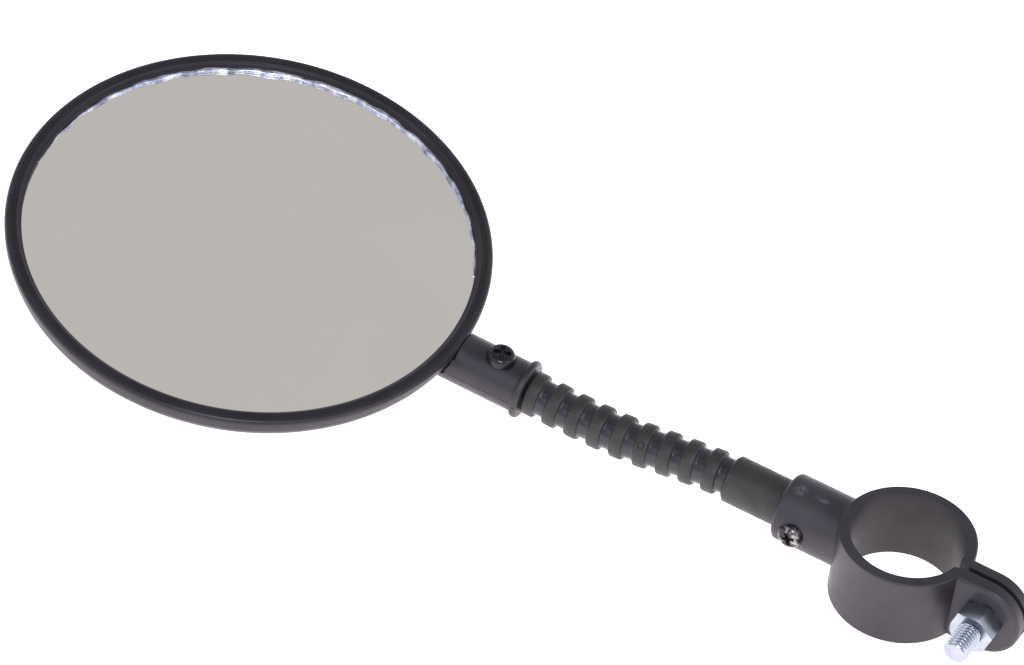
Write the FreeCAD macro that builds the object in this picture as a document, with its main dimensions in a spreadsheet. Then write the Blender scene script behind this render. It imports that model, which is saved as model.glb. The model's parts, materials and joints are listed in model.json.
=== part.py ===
import FreeCAD, Part
import math
import operator
import os
import Sketcher

# Bicycle mirror for a straight handlebar: a split ring clamp, a flexible ribbed neck that turns
# in the clamp's socket, and a round mirror head whose stem turns on the end of the neck.
# Origin at the centre of the clamp's bore, +Z along the handlebar, +X along the neck.

DRIVING_SIZES = {
    # clamp
    "bar_diameter": 22.2, "ring_wall": 2.1, "ring_height": 15.6, "ring_edge_round": 0.4,
    "ear_gap": 1.0, "ear_gap_centre": 1.0, "ear_thickness": 2.7, "ear_round": 1.1,
    "mouth_flare": 0.6, "bolt_offset": 5.5, "bolt_size": 4.9, "bolt_play": 0.3,
    "bolt_length": 17.0, "bolt_head_diameter": 9.5, "bolt_head_height": 3.5,
    "nut_across": 8.0, "nut_height": 4.5,
    "socket_wall": 1.93, "socket_drop": 0.1, "socket_length": 12.0, "socket_bottom": 1.2,
    "socket_round": 1.0,
    "set_screw_inset": 4.6, "set_screw_size": 2.9, "set_screw_head": 4.8,
    "set_screw_head_height": 1.7, "set_screw_sink": 0.25, "set_screw_point": 2.0,
    # neck
    "rib_diameter": 8.7, "rib_pitch": 4.75, "rib_width": 2.7, "rib_round": 0.5,
    "groove_depth": 0.9, "ball_play": 0.1, "ball_seat": 1.6, "ball_room": 1.0,
    "barrel_step": 0.35, "barrel_out": 13.0, "turning_play": 0.07, "end_play": 0.25,
    "set_groove_depth": 0.7, "set_groove_width": 2.6,
    "wire_diameter": 2.0, "wire_play": 0.3, "wire_grip": 5.0,
    # stem
    "stem_diameter": 10.2, "stem_length": 16.2, "stem_wall": 1.13, "stem_end_gap": 0.7,
    "collar_step": 0.8, "collar_start": 1.6, "collar_width": 2.0, "collar_round": 0.7,
    "flange_lip": 0.9, "flange_start": 4.3, "flange_width": 1.5, "seam": 0.1,
    "cone_inset": 8.6, "cone_length": 9.7, "stem_screw_offset": 2.6, "stem_screw_size": 2.7,
    "stem_screw_head": 5.4, "stem_screw_head_height": 2.2, "screw_play": 0.15, "seat_depth": 0.4,
    "screw_grip": 3.0, "pilot_spare": 1.05,
    # mirror head
    "head_diameter": 94.2, "rim_plane": 5.3, "rim_width": 3.8, "rim_step": 1.6, "rim_drop": 0.7,
    "rim_side_draft": 0.7, "rim_round": 0.8, "lip_thickness": 0.8, "rim_wall": 1.5,
    "back_inset": 1.45, "back_level": 0.6, "back_crown": 1.0, "floor_level": 0.9,
    "shelf_width": 1.6, "part_play": 0.15, "glass_thickness": 2.0, "pad_margin": 4.15,
    "reflector_along": 18.6, "reflector_aside": 7.9, "reflector_diameter": 27.0,
    "reflector_play": 0.7, "reflector_thickness": 1.4, "reflector_bevel": 0.6,
    "reflector_back_thickness": 0.3, "recess_floor": 0.0,
}

# The neck keeps a slight set: the bend at each groove in degrees, from the clamp to the head,
# sideways (about Z) at the odd grooves and up or down (about Y) at the even ones.
NECK_SET = (5.3, 2.5, 1.3, -1.1, -4.2, -2.3, -1.7, -3.1, 2.5)
HEAD_ROLL = -4.5
NUT_TURN = -18.0
CROWN_SHARE = 0.55  # how much of a pan head's height is rounded
LEAD_SHARE = 0.12  # a screw's end is turned back by this share of its diameter

X, Y, Z = FreeCAD.Vector(1, 0, 0), FreeCAD.Vector(0, 1, 0), FreeCAD.Vector(0, 0, 1)
ZERO = FreeCAD.Vector(0, 0, 0)

doc = FreeCAD.newDocument("bike_mirror")
sheet = doc.addObject("Spreadsheet::Sheet", "size")


class Size:
    """A length with the expression that works it out from the sheet."""

    def __init__(self, value, text):
        self.value = value
        self.text = text

    def __add__(self, other):
        return combine(self, "+", other)

    def __sub__(self, other):
        return combine(self, "-", other)

    def __mul__(self, other):
        return combine(self, "*", other)

    def __truediv__(self, other):
        return combine(self, "/", other)

    def __radd__(self, other):
        return combine(other, "+", self)

    def __rsub__(self, other):
        return combine(other, "-", self)

    def __rmul__(self, other):
        return combine(other, "*", self)

    def __neg__(self):
        return combine(0, "-", self)


OPERATIONS = {"+": operator.add, "-": operator.sub, "*": operator.mul, "/": operator.truediv}


def as_size(item):
    return item if isinstance(item, Size) else Size(float(item), "(%s)" % item)


def combine(left, sign, right):
    left, right = as_size(left), as_size(right)
    return Size(OPERATIONS[sign](left.value, right.value), "(%s %s %s)" % (left.text, sign, right.text))


def root(item):
    return Size(math.sqrt(item.value), "sqrt(%s)" % item.text)


class Sizes:
    """The sheet's cells as Size values, such as size.ring_wall."""


size = Sizes()
for row, (alias, number) in enumerate(DRIVING_SIZES.items(), start=1):
    sheet.set("A%d" % row, alias.replace("_", " "))
    sheet.set("B%d" % row, str(number))
    sheet.setAlias("B%d" % row, alias)
    setattr(size, alias, Size(number, "size.%s" % alias))
doc.recompute()

# Sizes worked out from the driving ones, used by more than one piece.
bore_radius = size.bar_diameter / 2
ring_radius = bore_radius + size.ring_wall
bolt_distance = ring_radius + size.bolt_offset
ear_front = size.ear_gap_centre + size.ear_gap / 2 + size.ear_thickness
ear_back = size.ear_gap_centre - size.ear_gap / 2 - size.ear_thickness

rib_radius = size.rib_diameter / 2
barrel_radius = rib_radius + size.barrel_step
groove_radius = rib_radius - size.groove_depth
cup_depth = size.ball_seat + size.ball_room
ball_hole = size.wire_diameter / 2 + size.wire_play

socket_radius = barrel_radius + size.turning_play + size.socket_wall
socket_reach = ring_radius + size.socket_length
socket_floor = ring_radius + size.socket_bottom
arm_height = size.ring_height / 2 - size.socket_drop - socket_radius
set_screw_reach = socket_reach - size.set_screw_inset
set_screw_seat = socket_radius - size.set_screw_sink
first_groove = socket_reach + size.barrel_out

stem_radius = size.stem_diameter / 2
collar_radius = stem_radius + size.collar_step
collar_end = size.collar_start + size.collar_width
flange_radius = stem_radius - size.stem_wall - size.turning_play
peg_radius = flange_radius - size.flange_lip
screw_hole = size.stem_screw_size / 2 + size.screw_play
screw_seat = stem_radius - size.seat_depth
flange_end = size.flange_start + size.flange_width
stem_screw_reach = flange_end + size.stem_screw_offset

head_radius = size.head_diameter / 2
head_reach = size.stem_length + head_radius
cone_start = size.stem_length + size.cone_inset
rim_foot = head_radius - size.rim_side_draft
shelf_outside = rim_foot - size.rim_wall - size.part_play
shelf_inside = shelf_outside - size.shelf_width
glass_radius = shelf_outside - size.part_play
lip_underside = size.rim_plane - size.rim_drop - size.lip_thickness
glass_edge = lip_underside - size.part_play
glass_back = glass_edge - size.glass_thickness
reflector_radius = size.reflector_diameter / 2


# ---------------------------------------------------------------- building helpers

def bind(item, prop, amount):
    amount = as_size(amount)
    item.setExpression(prop, amount.text)


def new_body(name):
    body = doc.addObject("PartDesign::Body", name)
    body.Label = name
    return body


def new_sketch(body, name, plane, lift=0):
    """An empty sketch on one of the body's own planes, lifted along the plane's normal."""
    sketch = body.newObject("Sketcher::SketchObject", name)
    base = [item for item in body.Origin.OriginFeatures if item.Role == plane][0]
    sketch.AttachmentSupport = (base, "")
    sketch.MapMode = "FlatFace"
    bind(sketch, "AttachmentOffset.Base.z", lift)
    return sketch


def pin_point(sketch, label, geometry, point, place):
    """Ties a sketch point to its two coordinates."""
    for kind, axis, amount in (("DistanceX", -2, place[0]), ("DistanceY", -1, place[1])):
        amount = as_size(amount)
        if amount.value == 0 and amount.text == "(0)":
            sketch.addConstraint(Sketcher.Constraint("PointOnObject", geometry, point, axis))
            continue
        index = sketch.addConstraint(
            Sketcher.Constraint(kind, -1, 1, geometry, point, amount.value))
        sketch.renameConstraint(index, label + kind)
        sketch.setExpression("Constraints.%s" % (label + kind), amount.text)


def outline(body, name, plane, corners, lift=0):
    """A closed sketch of straight sides through the corners. A corner with a third entry starts
    an arc of that radius, bulging to the right of the way round when the radius is positive."""
    sketch = new_sketch(body, name, plane, lift)
    points = [FreeCAD.Vector(as_size(c[0]).value, as_size(c[1]).value, 0) for c in corners]
    ends = []
    for number, corner in enumerate(corners):
        start, stop = points[number], points[(number + 1) % len(corners)]
        if len(corner) == 2:
            side = sketch.addGeometry(Part.LineSegment(start, stop), False)
            ends.append((side, 1, 2))
            continue
        radius = as_size(corner[2])
        chord = stop - start
        left = FreeCAD.Vector(-chord.y, chord.x, 0).normalize()
        reach = math.sqrt(radius.value ** 2 - chord.Length ** 2 / 4)
        turn = 1 if radius.value > 0 else -1
        centre = (start + stop) / 2 + left * (turn * reach)
        first, last = (start, stop) if turn > 0 else (stop, start)
        angles = [math.atan2(end.y - centre.y, end.x - centre.x) for end in (first, last)]
        if angles[1] < angles[0]:
            angles[1] += 2 * math.pi
        circle = Part.Circle(centre, Z, abs(radius.value))
        side = sketch.addGeometry(Part.ArcOfCircle(circle, angles[0], angles[1]), False)
        index = sketch.addConstraint(Sketcher.Constraint("Radius", side, abs(radius.value)))
        label = "arc%d" % number
        sketch.renameConstraint(index, label)
        sketch.setExpression("Constraints.%s" % label, "abs(%s)" % radius.text)
        ends.append((side, 1, 2) if turn > 0 else (side, 2, 1))
    for number, (side, first, last) in enumerate(ends):
        following = ends[(number + 1) % len(ends)]
        sketch.addConstraint(
            Sketcher.Constraint("Coincident", side, last, following[0], following[1]))
        pin_point(sketch, "p%d" % number, side, first, corners[number])
    return sketch


def disc(body, name, plane, centre, radius, lift=0):
    sketch = new_sketch(body, name, plane, lift)
    radius = as_size(radius)
    place = FreeCAD.Vector(as_size(centre[0]).value, as_size(centre[1]).value, 0)
    circle = sketch.addGeometry(Part.Circle(place, Z, radius.value), False)
    pin_point(sketch, "c", circle, 3, centre)
    index = sketch.addConstraint(Sketcher.Constraint("Radius", circle, radius.value))
    sketch.renameConstraint(index, "r")
    sketch.setExpression("Constraints.r", radius.text)
    return sketch


def extrude(body, kind, name, sketch, length, side="One side", reverse=False):
    """A pad or a pocket of the sketch; length None is a cut right through."""
    before = body.Shape.Volume if kind == "Pocket" else 0
    feature = body.newObject("PartDesign::%s" % kind, name)
    feature.Profile = sketch
    feature.SideType = side
    feature.Reversed = reverse
    if length is None:
        feature.Type = "ThroughAll"
    else:
        bind(feature, "Length", length)
    doc.recompute()
    if kind == "Pocket" and body.Shape.Volume >= before:
        raise ValueError("%s removes nothing from %s" % (name, body.Label))
    return feature


def turn(body, kind, name, sketch, axis="H_Axis", angle=360, reverse=False):
    """Turns the sketch about one of its own axes, adding or (Groove) removing material."""
    before = body.Shape.Volume if kind == "Groove" else 0
    feature = body.newObject("PartDesign::%s" % kind, name)
    feature.Profile = sketch
    feature.ReferenceAxis = (sketch, [axis])
    feature.Angle = angle
    feature.Reversed = reverse
    doc.recompute()
    if kind == "Groove" and body.Shape.Volume >= before:
        raise ValueError("%s removes nothing from %s" % (name, body.Label))
    return feature


def round_edges(body, name, radius, chosen):
    """Rounds every edge of the body that the test picks."""
    tip = body.Tip
    names = ["Edge%d" % (n + 1) for n, edge in enumerate(tip.Shape.Edges) if chosen(edge)]
    if not names:
        raise ValueError("%s finds no edge on %s" % (name, body.Label))
    feature = body.newObject("PartDesign::Fillet", name)
    feature.Base = (tip, names)
    bind(feature, "Radius", radius)
    doc.recompute()
    return feature


def turned(name, corners, plane="XY_Plane"):
    """A body turned about its own X axis from an outline of (place along X, radius) corners."""
    body = new_body(name)
    turn(body, "Revolution", name + "_turning", outline(body, name + "_profile", plane, corners))
    return body


def pointing(direction, place):
    """The placement that lays a part's own X axis along the direction."""
    return FreeCAD.Placement(place, FreeCAD.Rotation(X, direction))


# ---------------------------------------------------------------- clamp

def make_clamp():
    """Ring, two ears with a gap off the centre line, and the socket for the neck."""
    body = new_body("handlebar_clamp")
    half = size.ring_height / 2
    ears = outline(body, "ear_outline", "XZ_Plane",
                   [(-bore_radius, -half), (-bolt_distance, -half, -half),
                    (-bolt_distance - half, 0, -half), (-bolt_distance, half),
                    (-bore_radius, half)], -size.ear_gap_centre)
    extrude(body, "Pad", "ears", ears, size.ear_thickness * 2 + size.ear_gap, "Symmetric")
    inner = -bore_radius.value
    round_edges(body, "ear_rounding", size.ear_round,
                lambda edge: edge.BoundBox.YLength < 0.01 and edge.BoundBox.XMin < inner - 0.01)
    soft = size.ring_edge_round
    ring = outline(body, "ring_profile", "XZ_Plane",
                   [(0, -half), (ring_radius - soft, -half, soft), (ring_radius, -half + soft),
                    (ring_radius, half - soft, soft), (ring_radius - soft, half), (0, half)])
    turn(body, "Revolution", "ring", ring, "V_Axis")
    soft = size.socket_round
    wall = socket_radius
    socket = outline(body, "socket_profile", "XY_Plane",
                     [(0, 0), (socket_reach, 0), (socket_reach, wall - soft, soft),
                      (socket_reach - soft, wall), (0, wall)], arm_height)
    turn(body, "Revolution", "socket", socket)
    extrude(body, "Pocket", "bore", disc(body, "bore_outline", "XY_Plane", (0, 0), bore_radius),
            None, "Symmetric")
    low = size.ear_gap_centre - size.ear_gap / 2
    high = size.ear_gap_centre + size.ear_gap / 2
    far = -bolt_distance - size.ring_height
    slot = outline(body, "gap_outline", "XY_Plane",
                   [(far, low), (0, low), (0, high), (far, high)])
    extrude(body, "Pocket", "ear_slot", slot, None, "Symmetric")
    flare = outline(body, "mouth_outline", "XY_Plane",
                    [(-ring_radius, low), (-bore_radius, low - size.mouth_flare),
                     (-bore_radius + size.ring_wall, low - size.mouth_flare),
                     (-bore_radius + size.ring_wall, high + size.mouth_flare),
                     (-bore_radius, high + size.mouth_flare), (-ring_radius, high)])
    extrude(body, "Pocket", "gap_mouth", flare, None, "Symmetric")
    hole = size.bolt_size / 2 + size.bolt_play
    extrude(body, "Pocket", "bolt_hole",
            disc(body, "bolt_hole_outline", "XZ_Plane", (-bolt_distance, 0), hole),
            None, "Symmetric")
    extrude(body, "Pocket", "neck_hole",
            disc(body, "neck_hole_outline", "YZ_Plane", (0, arm_height),
                 barrel_radius + size.turning_play, socket_reach),
            socket_reach - socket_floor)
    extrude(body, "Pocket", "set_screw_hole",
            disc(body, "set_screw_outline", "XZ_Plane", (set_screw_reach, arm_height),
                 size.set_screw_size / 2 + size.screw_play),
            socket_radius * 2)
    extrude(body, "Pocket", "set_screw_seat",
            disc(body, "set_screw_seat_outline", "XZ_Plane", (set_screw_reach, arm_height),
                 size.set_screw_head / 2 + size.screw_play, -set_screw_seat),
            socket_radius * 2)
    return body


def pan_screw(name, shank, length, head, head_height, point=None):
    """A pan head screw from its head's top along +X, with a rounded head and a short lead."""
    crown = head_height * CROWN_SHARE
    lead = shank * LEAD_SHARE
    corners = [(-head_height, 0), (-head_height, head / 2 - crown, -crown),
               (-head_height + crown, head / 2), (0, head / 2), (0, shank / 2)]
    if point is None:
        corners += [(length - lead, shank / 2), (length, shank / 2 - lead), (length, 0)]
    else:
        corners += [(length - point[1], shank / 2), (length - point[1], point[0] / 2),
                    (length, point[0] / 2), (length, 0)]
    return turned(name, corners)


def make_clamp_bolt():
    """Screw through both ears, its head against the back ear."""
    body = pan_screw("clamp_bolt", size.bolt_size, size.bolt_length, size.bolt_head_diameter,
                     size.bolt_head_height)
    body.Placement = pointing(Y, FreeCAD.Vector(-bolt_distance.value, ear_back.value, 0))
    return body


def make_clamp_nut():
    """Hexagon nut against the front ear, its corners turned back at both faces."""
    body = new_body("clamp_nut")
    reach = size.nut_across / math.sqrt(3)
    corners = []
    for corner in range(6):
        angle = math.radians(60 * corner + 30)
        corners.append((reach * round(math.cos(angle), 6), reach * round(math.sin(angle), 6)))
    extrude(body, "Pad", "hexagon", outline(body, "hexagon_outline", "YZ_Plane", corners),
            size.nut_height)
    cut = reach - size.nut_across / 2
    slope = cut * math.tan(math.radians(30))
    for name, face, inward in (("near", as_size(0), 1), ("far", size.nut_height, -1)):
        sketch = outline(body, name + "_chamfer", "XY_Plane",
                         [(face - inward * slope, size.nut_across / 2 - cut),
                          (face + inward * slope, reach), (face + inward * slope, size.nut_across),
                          (face - inward * slope, size.nut_across)])
        turn(body, "Groove", name + "_chamfer_cut", sketch)
    extrude(body, "Pocket", "thread_hole",
            disc(body, "thread_outline", "YZ_Plane", (0, 0), size.bolt_size / 2), None, "Symmetric")
    place = pointing(Y, FreeCAD.Vector(-bolt_distance.value, ear_front.value, 0))
    place.Rotation = place.Rotation * FreeCAD.Rotation(X, NUT_TURN)
    body.Placement = place
    return body


def make_set_screw():
    """Screw through the socket's side, its point running in the barrel's groove."""
    groove_floor = barrel_radius - size.set_groove_depth
    reach = set_screw_seat - groove_floor - size.ball_play
    body = pan_screw("socket_set_screw", size.set_screw_size, reach, size.set_screw_head,
                     size.set_screw_head_height, (size.set_screw_point, size.set_groove_depth))
    body.Placement = pointing(-Y, FreeCAD.Vector(
        set_screw_reach.value, set_screw_seat.value, arm_height.value))
    return body


# ---------------------------------------------------------------- neck

def neck_places():
    """Where each groove's centre is, with the direction of the neck beyond it."""
    place = FreeCAD.Placement(
        FreeCAD.Vector(first_groove.value, 0, arm_height.value), FreeCAD.Rotation())
    places = []
    for number, bend in enumerate(NECK_SET):
        axis = Z if number % 2 == 0 else Y
        place = place * FreeCAD.Placement(ZERO, FreeCAD.Rotation(axis, bend))
        places.append(place)
        place = place * FreeCAD.Placement(X * size.rib_pitch.value, FreeCAD.Rotation())
    return places


def half_groove():
    return (size.rib_pitch - size.rib_width) / 2


def cup_corners(centre):
    """Outline of the hollow that takes the next segment's ball, and of the wire's hole."""
    hollow = groove_radius + size.ball_play
    face = -half_groove()
    floor = -cup_depth
    return (centre + face, root(hollow * hollow - face * face), hollow), \
        (centre + floor, root(hollow * hollow - floor * floor)), (centre + floor, ball_hole)


def make_barrel():
    """Smooth base of the neck, with the groove that keeps it in the socket."""
    start = socket_floor + size.end_play
    end = first_groove - half_groove()
    mouth, corner, hole = cup_corners(first_groove)
    groove_low = set_screw_reach - size.set_groove_width / 2
    groove_high = set_screw_reach + size.set_groove_width / 2
    groove_floor = barrel_radius - size.set_groove_depth
    lead = size.rib_round
    body = turned("neck_barrel", [
        (start, 0), (start, barrel_radius - lead), (start + lead, barrel_radius),
        (groove_low, barrel_radius), (groove_low, groove_floor), (groove_high, groove_floor),
        (groove_high, barrel_radius), (end - lead, barrel_radius), (end, barrel_radius - lead),
        mouth, corner, hole, (end - size.wire_grip, ball_hole), (end - size.wire_grip, 0)])
    body.Placement = FreeCAD.Placement(Z * arm_height.value, FreeCAD.Rotation())
    return body


def rib_outline(low, high):
    """Upper side of one rib, with its rounded corners, from low to high along the neck."""
    radius = rib_radius
    soft = size.rib_round
    return [(low, radius - soft, -soft), (low + soft, radius), (high - soft, radius, -soft),
            (high, radius - soft)]


def ball_outline():
    """The ball about the groove's centre, from its flat end to the rib's near side."""
    seat = -size.ball_seat
    near = half_groove()
    return [(seat, ball_hole), (seat, root(groove_radius * groove_radius - seat * seat),
                                -groove_radius),
            (near, root(groove_radius * groove_radius - near * near))]


def make_rib(number, place):
    """One link of the neck: a ball on the clamp's side, the rib, and a cup for the next ball."""
    near, far = half_groove(), size.rib_pitch - half_groove()
    mouth, corner, hole = cup_corners(size.rib_pitch)
    body = turned("neck_rib_%d" % number,
                  ball_outline() + rib_outline(near, far) + [mouth, corner, hole])
    body.Placement = place
    return body


def make_last_rib(place):
    """The link at the head, with the flanged peg that the stem turns on."""
    near, far = half_groove(), size.rib_pitch - half_groove()
    centre = size.rib_pitch / 2
    low, high = centre + size.flange_start, centre + flange_end
    hole_end = centre + size.wire_grip
    body = turned("neck_rib_1", ball_outline() + rib_outline(near, far) + [
        (far, peg_radius), (low, peg_radius), (low, flange_radius), (high, flange_radius),
        (high, 0), (hole_end, 0), (hole_end, ball_hole)])
    body.Placement = place
    return body


def make_wire(places):
    """The soft iron wire that holds the neck's bend, running through every groove's centre."""
    base_end = first_groove.value - half_groove().value - size.wire_grip.value
    gap = size.end_play.value
    start = FreeCAD.Vector(base_end + gap, 0, arm_height.value)
    reach = size.rib_pitch.value / 2 + size.wire_grip.value - gap
    end = places[-1].multVec(X * reach)
    route = [start] + [place.Base for place in places] + [end]
    end_circle = Part.makeCircle(size.wire_diameter.value / 2, start, route[1] - start)
    sweep = Part.BRepOffsetAPI.MakePipeShell(Part.makePolygon(route))
    sweep.setTransitionMode(1)
    sweep.add(Part.Wire(end_circle))
    sweep.build()
    sweep.makeSolid()
    shape = sweep.shape()
    wire = doc.addObject("Part::Feature", "neck_core_wire")
    wire.Shape = shape
    wire.Label = "neck_core_wire"
    return wire


# ---------------------------------------------------------------- stem and mirror head
# These pieces share the head's frame: origin at the last rib's centre, +X to the mirror,
# +Z out of the mirror's face.

def stem_hollow(body):
    """Removes the room for the peg and its flange, with turning play."""
    peg = peg_radius + size.turning_play
    flange = flange_radius + size.turning_play
    near = size.collar_start - size.end_play
    low = size.flange_start - size.end_play / 2
    high = flange_end + size.end_play / 2
    sketch = outline(body, "peg_room_outline", "XY_Plane", [
        (near, 0), (near, peg), (low, peg), (low, flange), (high, flange), (high, 0)])
    turn(body, "Groove", "peg_room", sketch)


def collar_corners():
    """Rounded collar and the start of the stem, as (place along X, radius) corners."""
    radius = collar_radius
    soft = size.collar_round
    return [(size.collar_start, 0), (size.collar_start, radius - soft, -soft),
            (size.collar_start + soft, radius), (collar_end - soft, radius, -soft),
            (collar_end, radius - soft), (collar_end, stem_radius)]


def make_housing(head):
    """Back shell of the mirror with the rear half of the stem, its cone and the reflector's seat."""
    body = new_body("mirror_housing")
    back_edge = head_radius - size.back_inset
    bottom = -size.back_level
    crown = bottom - size.back_crown
    soft = size.rim_round
    flange_top = bottom + soft
    dome = (back_edge * back_edge + size.back_crown * size.back_crown) / (size.back_crown * 2)
    plate = outline(body, "plate_profile", "XZ_Plane", [
        (head_reach, crown, dome), (head_reach + back_edge, bottom),
        (head_reach + rim_foot, flange_top), (head_reach + shelf_outside, flange_top),
        (head_reach + shelf_outside, glass_back), (head_reach + shelf_inside, glass_back),
        (head_reach + shelf_inside, size.floor_level), (head_reach, size.floor_level)])
    axis_ends = [FreeCAD.Vector(head_reach.value, level.value, 0)
                 for level in (crown, size.floor_level)]
    axis = plate.addGeometry(Part.LineSegment(*axis_ends), True)
    plate.addConstraint(Sketcher.Constraint("Vertical", axis))
    plate.addConstraint(Sketcher.Constraint("PointOnObject", 0, 1, axis))
    turn(body, "Revolution", "plate", plate, "Axis0")
    stem = outline(body, "stem_profile", "XY_Plane", collar_corners() + [
        (cone_start, stem_radius), (cone_start + size.cone_length, 0)])
    turn(body, "Revolution", "rear_stem", stem, "H_Axis", 180, True)
    stem_hollow(body)
    extrude(body, "Pocket", "screw_pilot",
            disc(body, "pilot_outline", "XY_Plane", (stem_screw_reach, 0),
                 screw_hole),
            size.screw_grip + size.pilot_spare)
    recess = reflector_radius + size.reflector_play
    extrude(body, "Pocket", "reflector_seat",
            disc(body, "seat_outline", "XY_Plane",
                 (head_reach + size.reflector_along, size.reflector_aside), recess,
                 size.recess_floor),
            size.rim_plane)
    body.Placement = head
    return body


def make_front_shell(head):
    """Front half of the stem and collar, with the screw's counterbore."""
    body = new_body("stem_front_shell")
    end = size.stem_length - size.stem_end_gap
    stem = outline(body, "shell_profile", "XY_Plane",
                   collar_corners() + [(end, stem_radius), (end, 0)])
    turn(body, "Revolution", "front_stem", stem, "H_Axis", 180)
    stem_hollow(body)
    trim = outline(body, "seam_outline", "XZ_Plane",
                   [(0, -size.seam), (head_reach, -size.seam), (head_reach, size.seam),
                    (0, size.seam)])
    extrude(body, "Pocket", "seam_cut", trim, size.head_diameter, "Symmetric")
    extrude(body, "Pocket", "screw_clearance",
            disc(body, "clearance_outline", "XY_Plane", (stem_screw_reach, 0), screw_hole),
            None, "Symmetric")
    extrude(body, "Pocket", "counterbore",
            disc(body, "counterbore_outline", "XY_Plane", (stem_screw_reach, 0),
                 size.stem_screw_head / 2 + size.screw_play * 2, screw_seat),
            stem_radius, reverse=True)
    body.Placement = head
    return body


def make_stem_screw(head):
    """Screw that draws the two halves of the stem together around the peg."""
    reach = screw_seat + size.screw_grip
    body = pan_screw("stem_screw", size.stem_screw_size, reach, size.stem_screw_head,
                     size.stem_screw_head_height)
    body.Placement = head * pointing(
        -Z, FreeCAD.Vector(stem_screw_reach.value, 0, screw_seat.value))
    return body


def head_turned(name, corners, head):
    """A piece turned about the mirror's own axis, from (height, radius) corners."""
    body = turned(name, corners)
    body.Placement = head * pointing(Z, X * head_reach.value)
    return body


def make_bezel(head):
    """Rim that holds the glass: a stepped front face, a drafted side and a wall over the shell."""
    low = -size.back_level + size.rim_round + size.part_play
    foot = rim_foot
    top = size.rim_plane
    lip = head_radius - size.rim_width
    inside = foot - size.rim_wall
    soft = size.rim_round
    return head_turned("bezel_ring", [
        (low, inside), (low, foot), (top - soft, head_radius, -soft),
        (top, head_radius - soft), (top, lip + size.rim_step),
        (top - size.rim_drop / 2, lip + size.rim_step),
        (top - size.rim_drop, lip), (lip_underside, lip),
        (lip_underside, inside)], head)


def disc_piece(name, low, high, radius, head):
    """A flat round piece on the mirror's axis."""
    return head_turned(name, [(low, 0), (low, radius), (high, radius), (high, 0)], head)


def make_glass(head):
    """Flat round mirror glass, held between the shell's shelf and the rim's lip."""
    return disc_piece("mirror_glass", glass_back, glass_edge, glass_radius, head)


def make_pad(head):
    """Foam disc that fills the space between the shell and the glass."""
    radius = shelf_inside - size.pad_margin
    return disc_piece("glass_backing_pad", size.floor_level, glass_back, radius, head)


def reflector_piece(name, corners, head):
    body = turned(name, corners)
    place = FreeCAD.Vector(head_reach.value + size.reflector_along.value,
                           size.reflector_aside.value, 0)
    body.Placement = head * pointing(-Z, place)
    return body


def make_reflector(head):
    """Bevelled reflector lens, measured along the outward (rear) direction."""
    low = size.reflector_back_thickness - size.recess_floor
    high = low + size.reflector_thickness
    radius = reflector_radius
    return reflector_piece("reflector_lens", [
        (low, 0), (low, radius), (high - size.reflector_bevel, radius),
        (high, radius - size.reflector_bevel), (high, 0)], head)


def make_reflector_back(head):
    """Pale disc behind the lens."""
    low = -size.recess_floor
    high = low + size.reflector_back_thickness
    radius = reflector_radius
    return reflector_piece("reflector_backing", [(low, 0), (low, radius), (high, radius), (high, 0)],
                           head)


# ---------------------------------------------------------------- assembly

grooves = neck_places()
link_centre = FreeCAD.Placement(X * (size.rib_pitch.value / 2), FreeCAD.Rotation())
head_place = grooves[-1] * link_centre * FreeCAD.Placement(ZERO, FreeCAD.Rotation(X, HEAD_ROLL))

sub_parts = [make_clamp(), make_clamp_bolt(), make_clamp_nut(), make_set_screw(), make_barrel()]
for position, groove in enumerate(grooves[:-1]):
    sub_parts.append(make_rib(len(grooves) - position, groove))
sub_parts += [make_last_rib(grooves[-1]), make_wire(grooves)]
for maker in (make_housing, make_front_shell, make_stem_screw, make_bezel, make_glass, make_pad,
              make_reflector, make_reflector_back):
    sub_parts.append(maker(head_place))

doc.recompute()
for item in doc.Objects:
    if "Invalid" in item.State or "Error" in item.State:
        raise ValueError("%s did not build: %s" % (item.Label, item.State))
for item in sub_parts:
    if item.Shape.isNull() or not item.Shape.isValid():
        raise ValueError("%s has no sound shape" % item.Label)

os.makedirs("parts", exist_ok=True)
for item in sub_parts:
    item.Shape.exportStep("parts/%s.step" % item.Label)
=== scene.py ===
import json
import math

import bmesh
import bpy
import numpy as np
from mathutils import Matrix, Vector


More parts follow.
